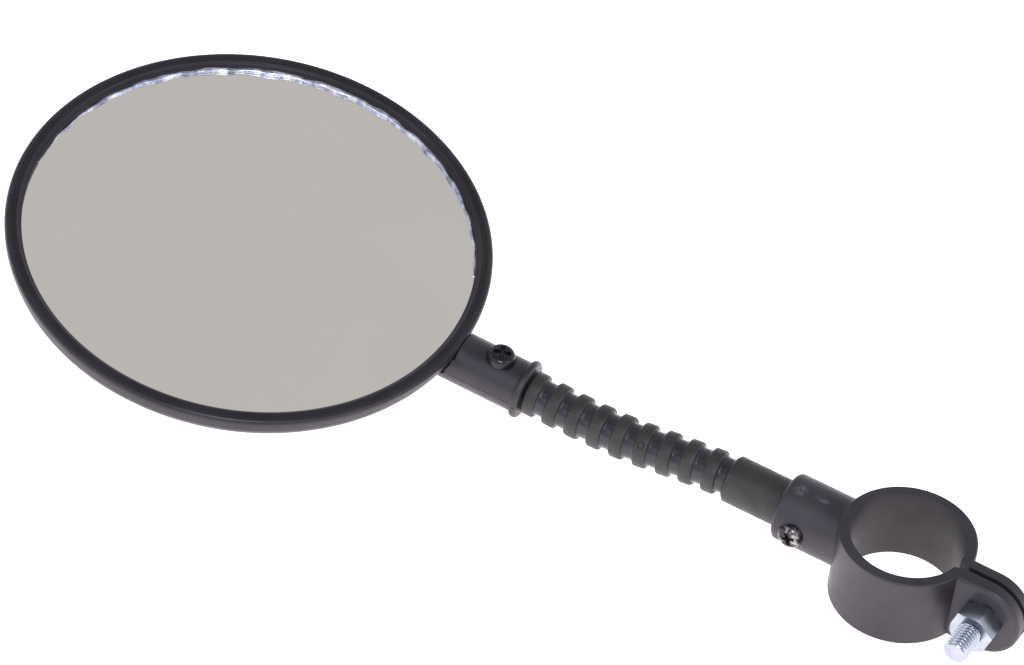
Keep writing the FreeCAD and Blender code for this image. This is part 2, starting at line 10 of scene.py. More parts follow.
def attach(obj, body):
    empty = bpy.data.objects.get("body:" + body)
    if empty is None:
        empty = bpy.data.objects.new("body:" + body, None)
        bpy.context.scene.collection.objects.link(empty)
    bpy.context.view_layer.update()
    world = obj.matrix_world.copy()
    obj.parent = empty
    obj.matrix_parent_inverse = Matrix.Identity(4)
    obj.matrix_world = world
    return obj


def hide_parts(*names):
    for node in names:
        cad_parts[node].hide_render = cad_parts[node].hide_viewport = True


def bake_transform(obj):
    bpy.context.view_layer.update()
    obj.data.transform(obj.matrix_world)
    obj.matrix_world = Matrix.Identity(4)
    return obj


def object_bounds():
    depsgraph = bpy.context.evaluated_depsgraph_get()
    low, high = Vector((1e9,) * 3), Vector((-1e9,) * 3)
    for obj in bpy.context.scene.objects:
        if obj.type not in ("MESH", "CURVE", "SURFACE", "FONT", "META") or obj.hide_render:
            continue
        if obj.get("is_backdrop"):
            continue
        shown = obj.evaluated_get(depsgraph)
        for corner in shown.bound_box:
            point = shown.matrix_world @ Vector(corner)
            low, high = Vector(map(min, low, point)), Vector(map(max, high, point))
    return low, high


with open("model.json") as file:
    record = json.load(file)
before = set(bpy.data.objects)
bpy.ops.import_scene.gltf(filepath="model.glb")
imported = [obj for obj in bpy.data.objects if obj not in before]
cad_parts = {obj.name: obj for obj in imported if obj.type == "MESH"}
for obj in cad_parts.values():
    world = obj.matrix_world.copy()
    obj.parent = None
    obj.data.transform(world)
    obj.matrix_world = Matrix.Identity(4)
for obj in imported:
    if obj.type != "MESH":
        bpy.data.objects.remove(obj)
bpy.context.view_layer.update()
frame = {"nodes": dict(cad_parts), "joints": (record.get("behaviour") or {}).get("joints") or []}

MM = 0.001

VIEW_AIM = Vector((80.9, 12.5, 23.4)) * MM
VIEW_AZIMUTH = 204.24
VIEW_ELEVATION = 42.92
VIEW_ROLL = 8.66
VIEW_DISTANCE = 1.378
SENSOR_WIDTH = 36.0
LENS = 258.6
VIEW_END = 50.0

NODES = frame["nodes"]
JOINTS = {joint["name"]: joint for joint in frame["joints"]}
GROOVES = [joint for joint in frame["joints"] if joint["name"].startswith("bend_")]
GROOVE_PLACES = [Vector(joint["pos_m"]) for joint in GROOVES]
RIB_PITCH = (GROOVE_PLACES[1] - GROOVE_PLACES[0]).length
NECK_START = Vector(JOINTS["clamp_swivel"]["pos_m"])
HEAD_AXIS = Vector(JOINTS["head_swivel"]["axis"]).normalized()

RIB_RADIUS = 4.35 * MM
RIB_WIDTH = 2.7 * MM
RIB_SOFT = 0.55 * MM
RIB_SINK = 0.2 * MM
GROOVE_RADIUS = 3.5 * MM
GROOVE_HALF = 1.02 * MM
GROOVE_REACH = 1.45 * MM
GROOVE_FILLET = 0.22 * MM
FILLET_POWER = 6
NECK_SIDES = 96
HEAD_SIDES = 240


# ---------------------------------------------------------------- mesh helpers

def linked(name, mesh):
    piece = bpy.data.objects.new(name, mesh)
    bpy.context.scene.collection.objects.link(piece)
    return piece


def shade(mesh, angle=35):
    """Smooth shading with sharp edges where faces meet at more than the angle."""
    for face in mesh.polygons:
        face.use_smooth = True
    mesh.set_sharp_from_angle(angle=math.radians(angle))


def rows_to_mesh(name, rows, looped=False):
    """A tube through rows of points; its ends are closed, or joined when the rows make a loop."""
    build = bmesh.new()
    rings = [[build.verts.new(point) for point in row] for row in rows]
    count = len(rings[0])
    following = rings[1:] + rings[:1] if looped else rings[1:]
    for low, high in zip(rings, following):
        for k in range(count):
            after = (k + 1) % count
            build.faces.new((low[k], low[after], high[after], high[k]))
    if not looped:
        build.faces.new(list(reversed(rings[0])))
        build.faces.new(rings[-1])
    bmesh.ops.recalc_face_normals(build, faces=build.faces)
    mesh = bpy.data.meshes.new(name)
    build.to_mesh(mesh)
    build.free()
    return mesh


def out_towards(azimuth, elevation):
    """Unit vector away from the object, for angles in degrees."""
    a, e = math.radians(azimuth), math.radians(elevation)
    return Vector((math.sin(a) * math.cos(e), -math.cos(a) * math.cos(e), math.sin(e)))


def axes_along(direction):
    """Two unit vectors square to the direction."""
    direction = direction.normalized()
    side = direction.orthogonal().normalized()
    return side, direction.cross(side)


def ring_points(centre, direction, radius_at, count):
    """A ring of points; radius_at gives the radius for each angle."""
    side, other = axes_along(direction)
    points = []
    for k in range(count):
        angle = 2 * math.pi * k / count
        radius = radius_at(angle)
        points.append(centre + side * (math.cos(angle) * radius) + other * (math.sin(angle) * radius))
    return points


def lathe(name, place, direction, profile, count=72, looped=False):
    """A solid turned round the direction from (along, radius) points."""
    direction = direction.normalized()
    rows = [ring_points(place + direction * along, direction, lambda angle, r=radius: r, count)
            for along, radius in profile]
    mesh = rows_to_mesh(name, rows, looped)
    shade(mesh)
    return linked(name, mesh)


def arc(centre, radius, start, end, steps=8):
    """(along, radius) points round a centre, from one angle to another in degrees."""
    points = []
    for k in range(steps + 1):
        angle = math.radians(start + (end - start) * k / steps)
        points.append((centre[0] + radius * math.sin(angle), centre[1] + radius * math.cos(angle)))
    return points


def cut(piece, cutter):
    """Takes the cutter out of the piece and deletes the cutter."""
    modifier = piece.modifiers.new("cut", "BOOLEAN")
    modifier.operation = "DIFFERENCE"
    modifier.solver = "EXACT"
    modifier.object = cutter
    bpy.context.view_layer.update()
    graph = bpy.context.evaluated_depsgraph_get()
    mesh = bpy.data.meshes.new_from_object(piece.evaluated_get(graph))
    piece.modifiers.clear()
    piece.data = mesh
    shade(mesh)
    bpy.data.objects.remove(cutter)


def node_points(name):
    return np.array([vertex.co for vertex in NODES[name].data.vertices])


def flat_direction(name):
    """The direction square to a flat disc, pointing upwards."""
    points = node_points(name)
    spread = np.linalg.svd(points - points.mean(axis=0), full_matrices=False)[2]
    direction = Vector(spread[-1])
    return direction if direction.z > 0 else -direction


def turned_extent(name, direction):
    """First and last point on the axis of a round node, and its largest radius."""
    direction = direction.normalized()
    side, other = axes_along(direction)
    points = node_points(name)
    spans = [(points @ np.array(axis)) for axis in (direction, side, other)]
    middle = side * ((spans[1].min() + spans[1].max()) / 2) + other * (
        (spans[2].min() + spans[2].max()) / 2)
    radius = (spans[1].max() - spans[1].min()) / 2
    return middle + direction * spans[0].min(), middle + direction * spans[0].max(), radius


# ---------------------------------------------------------------- materials

# The Mix node's colour sockets, whose names it shares with its other types of socket.
MIX_FIRST, MIX_SECOND, MIX_RESULT = 6, 7, 2


class Material:
    """A node material with a Principled shader and short calls for its textures."""

    def __init__(self, name, **constants):
        self.material = bpy.data.materials.new(name)
        self.material.use_nodes = True
        tree = self.material.node_tree
        self.nodes, self.links = tree.nodes, tree.links
        self.shader = self.nodes["Principled BSDF"]
        self.place = self.nodes.new("ShaderNodeTexCoord").outputs["Object"]
        self.height = None
        for socket, value in constants.items():
            self.shader.inputs[socket.replace("_", " ")].default_value = value

    def noise(self, scale, detail, roughness=0.55):
        node = self.nodes.new("ShaderNodeTexNoise")
        node.inputs["Scale"].default_value = scale
        node.inputs["Detail"].default_value = detail
        node.inputs["Roughness"].default_value = roughness
        self.links.new(self.place, node.inputs["Vector"])
        return node.outputs["Fac"]

    def spread(self, value, low, high, to_low, to_high):
        """Maps one range of a value onto another and holds it at the ends."""
        node = self.nodes.new("ShaderNodeMapRange")
        for name, number in (("From Min", low), ("From Max", high), ("To Min", to_low),
                             ("To Max", to_high)):
            node.inputs[name].default_value = number
        self.links.new(value, node.inputs["Value"])
        return node.outputs["Result"]

    def cloud(self, scale, detail, roughness=0.55, half=0.15):
        """Soft patches from 0 to 1; half is half the noise range between the two."""
        return self.spread(self.noise(scale, detail, roughness), 0.5 - half, 0.5 + half, 0, 1)

    def mix(self, share, first, second):
        """Colour between two, which are RGB tuples or sockets."""
        node = self.nodes.new("ShaderNodeMix")
        node.data_type = "RGBA"
        self.links.new(share, node.inputs["Factor"])
        for socket, colour in ((node.inputs[MIX_FIRST], first), (node.inputs[MIX_SECOND], second)):
            if isinstance(colour, tuple):
                socket.default_value = (*colour, 1)
            else:
                self.links.new(colour, socket)
        return node.outputs[MIX_RESULT]

    def set(self, socket, value):
        self.links.new(value, self.shader.inputs[socket])

    def set_roughness(self, scale, detail, low, high):
        """Roughness that wanders between two values."""
        self.set("Roughness", self.spread(self.noise(scale, detail), 0.3, 0.7, low, high))

    def bump(self, value, distance, strength):
        """Adds a bump on top of the ones before."""
        node = self.nodes.new("ShaderNodeBump")
        node.inputs["Distance"].default_value = distance
        node.inputs["Strength"].default_value = strength
        self.links.new(value, node.inputs["Height"])
        if self.height:
            self.links.new(self.height, node.inputs["Normal"])
        self.height = node.outputs["Normal"]
        self.links.new(self.height, self.shader.inputs["Normal"])


def moulded_plastic(name, dark, light, roughness, shine=0.5):
    """Black plastic with a fine spark-eroded grain and a cloudy tone."""
    made = Material(name, Specular_IOR_Level=shine)
    tone = made.cloud(90, 5)
    made.set("Base Color", made.mix(tone, dark, light))
    made.set_roughness(240, 4, roughness - 0.06, roughness + 0.06)
    made.bump(made.noise(5200, 2), 0.00003, 0.4)
    made.bump(made.noise(160, 3), 0.00008, 0.2)
    return made


FADE_START = 0.6


def near_point(made, point, reach, stretch):
    """Share that is 1 at a point on the object and fades out at the reach."""
    mapping = made.nodes.new("ShaderNodeMapping")
    mapping.inputs["Scale"].default_value = stretch
    distance = made.nodes.new("ShaderNodeVectorMath")
    distance.operation = "DISTANCE"
    distance.inputs[1].default_value = [point[k] * stretch[k] for k in range(3)]
    made.links.new(made.place, mapping.inputs["Vector"])
    made.links.new(mapping.outputs["Vector"], distance.inputs[0])
    return made.spread(distance.outputs["Value"], reach * FADE_START, reach, 1, 0)


def rub(made, share, colour):
    """Pale broken rub over the material's own colour."""
    broken = made.cloud(900, 4, 0.6, 0.12)
    times = made.nodes.new("ShaderNodeMath")
    times.operation = "MULTIPLY"
    made.links.new(share, times.inputs[0])
    made.links.new(broken, times.inputs[1])
    below = made.shader.inputs["Base Color"].links[0].from_socket
    made.set("Base Color", made.mix(times.outputs["Value"], below, colour))


SCUFF_ALONG = 2.85 * MM
SCUFF_REACH = 1.7 * MM
SCUFF_SHAPE = (1, 1, 1)
STREAK_ALONG = 7.6 * MM
STREAK_REACH = 2.0 * MM
STREAK_SHAPE = (1, 3.2, 1)
SCUFF_SIDE = 1.2 * MM
SCUFF_HEIGHT = 6.2 * MM
SCUFF_COLOUR = (0.085, 0.08, 0.09)


def clamp_plastic():
    """The body's plastic with two pale rubs on the socket, near its open end and beside it."""
    made = moulded_plastic("clamp_plastic", (0.018, 0.0145, 0.019), (0.03, 0.0245, 0.0305), 0.44)
    for along, reach, stretch in ((SCUFF_ALONG, SCUFF_REACH, SCUFF_SHAPE),
                                  (STREAK_ALONG, STREAK_REACH, STREAK_SHAPE)):
        place = NECK_START + Vector((-along, SCUFF_SIDE, SCUFF_HEIGHT))
        rub(made, near_point(made, place, reach, stretch), SCUFF_COLOUR)
    return made.material


def rubber(name, dark, light, roughness, grain):
    """Flexible rubber with a dull bloom; grain is the strength of its finer bump."""
    made = Material(name)
    tone = made.cloud(260, 5)
    made.set("Base Color", made.mix(tone, dark, light))
    made.set_roughness(500, 4, roughness - 0.07, roughness + 0.07)
    made.bump(made.noise(4200, 3), 0.00003, grain)
    made.bump(made.noise(500, 3), 0.00006, grain * 0.75)
    return made.material


def bright_zinc():
    """Zinc plating with a blue cast, slightly cloudy."""
    made = Material("bright_zinc", Metallic=1.0)
    tone = made.cloud(350, 3)
    made.set("Base Color", made.mix(tone, (0.36, 0.39, 0.44), (0.45, 0.48, 0.53)))
    made.set_roughness(900, 3, 0.2, 0.27)
    made.bump(made.noise(900, 2), 0.00002, 0.12)
    return made.material


def dark_screw(name, worn):
    """Blackened steel, rubbed bright where a driver has turned it."""
    made = Material(name)
    bare = made.spread(made.noise(750, 3, 0.5), 0.48, 0.62, 0, worn)
    made.set("Base Color", made.mix(bare, (0.012, 0.011, 0.013), (0.4, 0.37, 0.37)))
    made.set("Metallic", made.spread(bare, 0, 1, 0.3, 1.0))
    made.set_roughness(800, 3, 0.2, 0.3)
    made.bump(made.noise(1200, 2), 0.00002, 0.15)
    return made.material


def silvered_glass():
    """Mirror coating: flat reflection with the slightest haze."""
    made = Material("silvered_glass", Metallic=1.0)
    tone = made.cloud(30, 3, half=0.2)
    made.set("Base Color", made.mix(tone, (0.9, 0.89, 0.87), (0.93, 0.92, 0.9)))
    made.set_roughness(60, 3, 0.015, 0.035)
    return made.material


def clear_acrylic():
    """Clear plastic cover with a faint tint and haze."""
    made = Material("clear_acrylic", Transmission_Weight=1.0, IOR=1.49)
    made.set("Base Color", made.mix(made.noise(300, 3), (0.94, 0.94, 0.98), (1.0, 1.0, 1.0)))
    made.set_roughness(800, 3, 0.01, 0.05)
    return made.material


def prismatic_silver():
    """Silver-lavender facets behind the lens, with a few warm sparkles."""
    made = Material("prismatic_silver", Metallic=0.9)
    tone = made.cloud(900, 3)
    colour = made.mix(tone, (0.5, 0.5, 0.62), (0.88, 0.88, 0.95))
    spark = made.spread(made.noise(1500, 2), 0.68, 0.72, 0, 1)
    made.set("Base Color", made.mix(spark, colour, (0.9, 0.5, 0.25)))
    made.set_roughness(700, 2, 0.12, 0.25)
    return made.material


def sealant_with_painted_reflection():
    """Clear sealant whose silvery cloud of dark blue and near white is painted reflection of the
    surroundings.
    """
    made = Material("sealant_with_painted_reflection", Metallic=0.85)
    tone = made.cloud(450, 4, 0.6, 0.1)
    made.set("Base Color", made.mix(tone, (0.33, 0.35, 0.46), (0.85, 0.86, 0.92)))
    made.set_roughness(700, 3, 0.2, 0.32)
    made.bump(made.noise(500, 2), 0.00008, 0.25)
    return made.material


def dull_fill(name, dark, light):
    """Foam, wire and other inner pieces."""
    made = Material(name)
    made.set("Base Color", made.mix(made.noise(900, 5), dark, light))
    made.set_roughness(900, 4, 0.6, 0.85)
    made.bump(made.noise(2500, 3), 0.00005, 0.6)
    return made.material


BODY_PLASTIC = moulded_plastic("body_plastic", (0.018, 0.0145, 0.019), (0.029, 0.0235, 0.0295),
                               roughness=0.4).material
CLAMP_PLASTIC = clamp_plastic()
# Darker copy of the body plastic for the rim and the shell's rounded side: its darkness is painted
# shade against the floor's glow.
RIM_PLASTIC_PAINTED_SHADE = moulded_plastic("rim_plastic", (0.016, 0.0135, 0.018), (0.025, 0.021, 0.027),
                              roughness=0.34, shine=0.36).material
RUBBER = rubber("neck_rubber", (0.017, 0.017, 0.0145), (0.028, 0.028, 0.0235),
                roughness=0.48, grain=0.4)
# The grooves wear a glossier, bluish copy of the neck rubber; the blue tint is painted sheen.
GROOVE_RUBBER_PAINTED_SHEEN = rubber("neck_web_painted_sheen", (0.016, 0.016, 0.021), (0.024, 0.024, 0.031), roughness=0.27, grain=0.12)
# The bead's silvery colour is painted reflection.
SEALANT_PAINTED_REFLECTION = sealant_with_painted_reflection()
ZINC = bright_zinc()
SET_SCREW_STEEL = dark_screw("set_screw_steel", worn=0.9)
STEM_SCREW_STEEL = dark_screw("stem_screw_steel", worn=0.05)
GLASS = silvered_glass()
ACRYLIC = clear_acrylic()
PRISMS = prismatic_silver()
FOAM = dull_fill("foam", (0.02, 0.02, 0.02), (0.05, 0.05, 0.05))
IRON = dull_fill("iron", (0.1, 0.1, 0.1), (0.2, 0.19, 0.18))

NODE_MATERIALS = {
    "handlebar_clamp": CLAMP_PLASTIC, "clamp_nut": ZINC, "neck_barrel": RUBBER,
    "neck_core_wire": IRON, "mirror_housing": BODY_PLASTIC, "stem_front_shell": BODY_PLASTIC,
    "bezel_ring": RIM_PLASTIC_PAINTED_SHADE, "mirror_glass": GLASS, "glass_backing_pad": FOAM,
    "reflector_lens": ACRYLIC, "reflector_backing": PRISMS, "clamp_bolt": ZINC,
    "socket_set_screw": SET_SCREW_STEEL, "stem_screw": STEM_SCREW_STEEL,
}


def wear(piece, material):
    piece.data.materials.clear()
    piece.data.materials.append(material)


for node_name, node in NODES.items():
    wear(node, NODE_MATERIALS.get(node_name, RUBBER))


# ---------------------------------------------------------------- neck

def neck_direction(number):
    """The neck's direction at a groove, from the groove before to the one after."""
    before = GROOVE_PLACES[number - 1] if number else NECK_START
    after = GROOVE_PLACES[number + 1] if number + 1 < len(GROOVES) else None
    here = GROOVE_PLACES[number]
    if after is None:
        return HEAD_AXIS.copy()
    return ((here - before).normalized() + (after - here).normalized()).normalized()


PARTING_HEIGHT = 0.09 * MM
PARTING_WIDTH = math.radians(3.5)


def with_parting(radius):
    """Adds the mould's parting ridge on two opposite sides."""
    def radius_at(angle):
        near = abs(math.remainder(angle, math.pi))
        return radius + PARTING_HEIGHT * math.exp(-(near / PARTING_WIDTH) ** 2)
    return radius_at


def make_rib(number):
    """Outer band of one rib with soft shoulders, centred between its two grooves."""
    start = GROOVE_PLACES[number]
    last = number + 1 == len(GROOVES)
    direction = HEAD_AXIS if last else (GROOVE_PLACES[number + 1] - start).normalized()
    centre = start + direction * (RIB_PITCH / 2)
    half = RIB_WIDTH / 2
    shoulder = RIB_RADIUS - RIB_SOFT
    edge = [(-half, GROOVE_RADIUS - RIB_SINK), (-half, shoulder)]
    steps = 5
    for k in range(1, steps + 1):
        angle = math.pi / 2 * k / steps
        edge.append((-half + RIB_SOFT * (1 - math.cos(angle)), shoulder + RIB_SOFT * math.sin(angle)))
    profile = edge + [(-along, radius) for along, radius in reversed(edge)]
    rows = [ring_points(centre + direction * along, direction, with_parting(radius), NECK_SIDES)
            for along, radius in profile]
    name = "rib_band_%d" % (len(GROOVES) - number)
    mesh = rows_to_mesh(name, rows)
    shade(mesh, angle=50)
    piece = linked(name, mesh)
    wear(piece, RUBBER)
    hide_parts("neck_rib_%d" % (len(GROOVES) - number))
    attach(piece, GROOVES[number]["child"])


def make_groove(number):
    """Thin part of the sleeve between the two ribs beside it."""
    here = GROOVE_PLACES[number]
    direction = neck_direction(number)
    steps = 20
    rows = []
    for k in range(steps + 1):
        along = -GROOVE_REACH + 2 * GROOVE_REACH * k / steps
        fillet = GROOVE_FILLET * min(1.0, abs(along) / GROOVE_HALF) ** FILLET_POWER
        rows.append(ring_points(here + direction * along, direction,
                                with_parting(GROOVE_RADIUS + fillet), NECK_SIDES))
    name = "groove_sleeve_%d" % (len(GROOVES) - number)
    mesh = rows_to_mesh(name, rows)
    shade(mesh, angle=50)
    piece = linked(name, mesh)
    # The groove rubber's bluish tint is painted sheen.
    wear(piece, GROOVE_RUBBER_PAINTED_SHEEN)
    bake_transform(piece)


for groove_number in range(len(GROOVES)):
    make_rib(groove_number)
    make_groove(groove_number)


GATE_RIB = 6
GATE_ANGLE = math.radians(-49)
GATE_RADIUS = 0.75 * MM
GATE_CORE = 0.6 * GATE_RADIUS
GATE_DEPTH = 0.28 * MM
GATE_ABOVE = 0.3 * MM
GATE_SIDES = 32


def mark_gate():
    """Ring left by the mould's gate on one rib, on the side towards +Y."""
    rib = "rib_band_%d" % GATE_RIB
    start = GROOVE_PLACES[len(GROOVES) - GATE_RIB]
    direction = (GROOVE_PLACES[len(GROOVES) - GATE_RIB + 1] - start).normalized()
    upward = (Vector((0, 0, 1)) - direction * direction.z).normalized()
    out = Matrix.Rotation(GATE_ANGLE, 3, direction) @ upward
    surface = start + direction * (RIB_PITCH / 2) + out * RIB_RADIUS
    ring = lathe("gate_ring", surface, out, [
        (-GATE_DEPTH, GATE_RADIUS), (GATE_ABOVE, GATE_RADIUS), (GATE_ABOVE, GATE_CORE),
        (-GATE_DEPTH, GATE_CORE)], GATE_SIDES, looped=True)
    cut(bpy.data.objects[rib], ring)


mark_gate()


# ---------------------------------------------------------------- mirror and stem

HEAD_NORMAL = flat_direction("mirror_glass")
RIM_FOOT, RIM_TOP, RIM_RADIUS = turned_extent("bezel_ring", HEAD_NORMAL)
RIM_HEIGHT = (RIM_TOP - RIM_FOOT).length

# Depths are measured from the rim's plane down along the head's normal. A line's flat floor
# lies between two shares of its width.
BOX_MARGIN = 0.01 * MM
RIM_SIDE = 2.3 * MM
RIM_INSIDE = 2.2 * MM
RIM_SOFT = 0.9 * MM
RIM_FOOT_INSET = 0.35 * MM
RIM_FOOT_SIDE = 0.15 * MM
RIM_FOOT_RISE = 0.2 * MM
RIM_LIP = 3.3 * MM
RIM_LIP_DEPTH = 0.75 * MM
RIM_LIP_SOFT = 0.12 * MM
LIP_UNDERSIDE = 1.5 * MM
LINE_COUNT = 3
LINE_START = 0.3 * MM
LINE_PITCH = 0.36 * MM
LINE_WIDTH = 0.16 * MM
LINE_DEPTH = 0.1 * MM
LINE_FLOOR = (0.35, 0.65)
STEP_WIDTH = 0.85 * MM
STEP_DEPTH = 0.35 * MM
STEP_SOFT = 0.15 * MM
STEP_SLOPE = 0.1 * MM
BACK_LEVEL = RIM_HEIGHT + 0.95 * MM
BACK_SLOPE = 0.02 * MM
BACK_LAP = 1.2 * MM
DISH_START = RIM_RADIUS - 0.45 * MM
DISH_END = RIM_RADIUS - 4.0 * MM
DISH_TOP = RIM_SIDE + 0.12 * MM
DISH_WALL = 0.75 * MM
GLASS_EDGE = 0.2 * MM


def make_rim():
    """Rim with a rounded outer edge, fine concentric lines and a step down to the glass."""
    outer = RIM_RADIUS - BOX_MARGIN
    profile = [(-RIM_SIDE, outer - RIM_INSIDE), (-RIM_SIDE, outer - RIM_FOOT_INSET),
               (-RIM_SIDE + RIM_FOOT_RISE, outer - RIM_FOOT_SIDE)]
    profile += arc((-RIM_SOFT, outer - RIM_SOFT), RIM_SOFT, 0, 90)
    for line in range(LINE_COUNT):
        edge = outer - RIM_SOFT - LINE_START - LINE_PITCH * line
        floor_start, floor_end = (edge - LINE_WIDTH * share for share in LINE_FLOOR)
        profile += [(0, edge), (-LINE_DEPTH, floor_start), (-LINE_DEPTH, floor_end),
                    (0, edge - LINE_WIDTH)]
    lip = outer - RIM_LIP
    step = lip + STEP_WIDTH
    profile += arc((-STEP_SOFT, step + STEP_SLOPE), STEP_SOFT, 90, 180, 3)
    profile += [(-STEP_DEPTH, step - STEP_SLOPE)]
    profile += arc((-RIM_LIP_DEPTH - RIM_LIP_SOFT, lip + RIM_LIP_SOFT), RIM_LIP_SOFT, 90, 180, 4)
    profile += [(-LIP_UNDERSIDE, lip), (-LIP_UNDERSIDE, outer - RIM_INSIDE)]
    rim = lathe("rim", RIM_TOP, HEAD_NORMAL, profile, HEAD_SIDES, looped=True)
    # The rim's darker plastic is painted shade.
    wear(rim, RIM_PLASTIC_PAINTED_SHADE)
    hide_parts("bezel_ring")
    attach(rim, "head")


def dish_radius(depth):
    """Radius of the back shell's rounded side at a depth under the rim's plane."""
    share = min(1.0, max(0.0, (depth - DISH_TOP) / (BACK_LEVEL - DISH_TOP)))
    return DISH_END + (DISH_START - DISH_END) * math.sqrt(1 - share * share)


def make_dish():
    """Rounded side of the back shell, from the rim's foot to the crowned back."""
    steps = 18
    outside = []
    for k in range(steps + 1):
        depth = DISH_TOP + (BACK_LEVEL - DISH_TOP) * math.sin(math.pi / 2 * k / steps)
        outside.append((-depth, dish_radius(depth)))
    outside.append((-BACK_LEVEL - BACK_SLOPE, DISH_END - BACK_LAP))
    inside = [(min(along + DISH_WALL, -DISH_TOP), radius - DISH_WALL)
              for along, radius in reversed(outside)]
    dish = lathe("shell_side", RIM_TOP, HEAD_NORMAL, outside + inside, HEAD_SIDES, looped=True)
    # The shell's rounded side wears the darker rim plastic: painted shade.
    wear(dish, RIM_PLASTIC_PAINTED_SHADE)
    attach(dish, "head")


def make_mirror():
    """Flat silvered glass with a small ground edge under the rim's lip."""
    back, front, radius = turned_extent("mirror_glass", HEAD_NORMAL)
    thickness = (front - back).length
    glass = lathe("glass", front, HEAD_NORMAL, [
        (-thickness, radius - GLASS_EDGE), (-thickness + GLASS_EDGE, radius),
        (-GLASS_EDGE, radius), (0, radius - GLASS_EDGE)], HEAD_SIDES)
    shade(glass.data, angle=8)
    wear(glass, GLASS)
    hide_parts("mirror_glass")
    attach(glass, "head")


BEAD_START = math.radians(22)
BEAD_END = math.radians(188)
BEAD_RADIUS = 0.62 * MM
BEAD_INSET = 0.25 * MM
BEAD_SWAY = 0.12 * MM
BEAD_SWAYS = 37
BEAD_WAVES = ((0.14, 23, 0), (0.1, 61, 1))
BEAD_TIP = 0.12
BEAD_TAPER = 0.7
BEAD_FLATNESS = 0.8
BEAD_STEPS = 260
BEAD_SIDES = 12


def make_bead():
    """Uneven bead of clear sealant in the corner of the rim and the glass, on one side; its silvery
    colour is painted reflection along the mirror's edge.
    """
    front = turned_extent("mirror_glass", HEAD_NORMAL)[1]
    first = -(HEAD_AXIS - HEAD_NORMAL * HEAD_AXIS.dot(HEAD_NORMAL)).normalized()
    second = HEAD_NORMAL.cross(first)
    reach = RIM_RADIUS - RIM_LIP - BEAD_INSET
    rows = []
    for k in range(BEAD_STEPS + 1):
        share = k / BEAD_STEPS
        angle = BEAD_START + (BEAD_END - BEAD_START) * share
        out = first * math.cos(angle) + second * math.sin(angle)
        uneven = 1 + sum(size * math.sin(angle * count + phase) for size, count, phase in BEAD_WAVES)
        radius = BEAD_RADIUS * uneven * max(BEAD_TIP, math.sin(math.pi * share)) ** BEAD_TAPER
        sway = BEAD_SWAY * math.sin(angle * BEAD_SWAYS)
        centre = front + out * (reach + sway) + HEAD_NORMAL * (radius / 2)
        row = []
        for turn in range(BEAD_SIDES):
            around = 2 * math.pi * turn / BEAD_SIDES
            row.append(centre + out * (math.cos(around) * radius)
                       + HEAD_NORMAL * (math.sin(around) * radius * BEAD_FLATNESS))
        rows.append(row)
    mesh = rows_to_mesh("sealant_bead_painted_reflection", rows)
    shade(mesh, angle=60)
    bead = linked("sealant_bead_painted_reflection", mesh)
    # Painted reflection: the bead's silvery colour.
    wear(bead, SEALANT_PAINTED_REFLECTION)
    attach(bead, "head")


make_rim()
make_dish()
make_mirror()
make_bead()

STEM_ORIGIN = Vector(JOINTS["head_swivel"]["pos_m"])
STEM_RADIUS = 5.1 * MM
COLLAR_WIDTH = 2.0 * MM
COLLAR_MIDDLE = 0.62 * COLLAR_WIDTH
COLLAR_SLIMMER = 0.45 * MM
SIDE_INSET = 0.4 * MM
RIM_CLOSER = 0.62 * MM
NEAR = 0.05 * MM
STEM_MARGIN = 0.8 * MM


def stem_span():
    """Where the front shell starts and ends along the stem's axis."""
    along = (node_points("stem_front_shell") - np.array(STEM_ORIGIN)) @ np.array(HEAD_AXIS)
    return along.min(), along.max()


def follow_forms(name, node, shell_end=None):
    """The node's own mesh with a slimmer collar, fitted to the rim and the shell's rounded side."""
    start = stem_span()[0]
    mesh = NODES[node].data.copy()
    mesh.name = name
    for vertex in mesh.vertices:
        offset = vertex.co - STEM_ORIGIN
        along = offset.dot(HEAD_AXIS)
        radius = (offset - HEAD_AXIS * along).length
        from_start = along - start
        if COLLAR_MIDDLE < from_start < COLLAR_WIDTH + NEAR and radius > STEM_RADIUS - NEAR:
            vertex.co -= HEAD_AXIS * COLLAR_SLIMMER
        depth = (RIM_TOP - vertex.co).dot(HEAD_NORMAL)
        if shell_end and along > shell_end - NEAR:
            under_rim = RIM_RADIUS - dish_radius(depth) if depth > RIM_SIDE else 0.0
            vertex.co += HEAD_AXIS * (RIM_CLOSER + under_rim)
        from_middle = vertex.co - RIM_TOP
        from_middle -= HEAD_NORMAL * from_middle.dot(HEAD_NORMAL)
        on_stem = radius < STEM_RADIUS + STEM_MARGIN and along < RIM_RADIUS
        on_side = DISH_END + NEAR < from_middle.length < RIM_RADIUS
        if on_side and not on_stem and not shell_end:
            vertex.co -= from_middle * (1 - (DISH_END - SIDE_INSET) / from_middle.length)
    shade(mesh, angle=30)
    piece = linked(name, mesh)
    wear(piece, BODY_PLASTIC)
    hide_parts(node)
    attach(piece, "head")


follow_forms("front_stem_shell", "stem_front_shell", stem_span()[1])
follow_forms("back_shell", "mirror_housing")


# ---------------------------------------------------------------- fasteners

CROSS_TURN = math.radians(24)
CROSS_ABOVE = 0.2 * MM
CROWN_SHARE = 0.55
CROWN_FLAT = 0.55
CROWN_DROP = 0.06
CROWN_TOP = 0.25
HEAD_EDGE = 0.12 * MM
SHANK_TAPER = 0.9

# A cross recess: its span and wings' width as shares of the head's radius, its depth of the height.
SCREW_CROSS = (1.25, 0.34, 0.8)
BOLT_CROSS = (1.15, 0.3, 0.7)

# Shares of the recess's depth and of its span there.
CROSS_NARROWING = ((0.55, 0.8), (1, 0.35))
CROSS_MOUTH = 1.05
WING_ROOT = 0.6


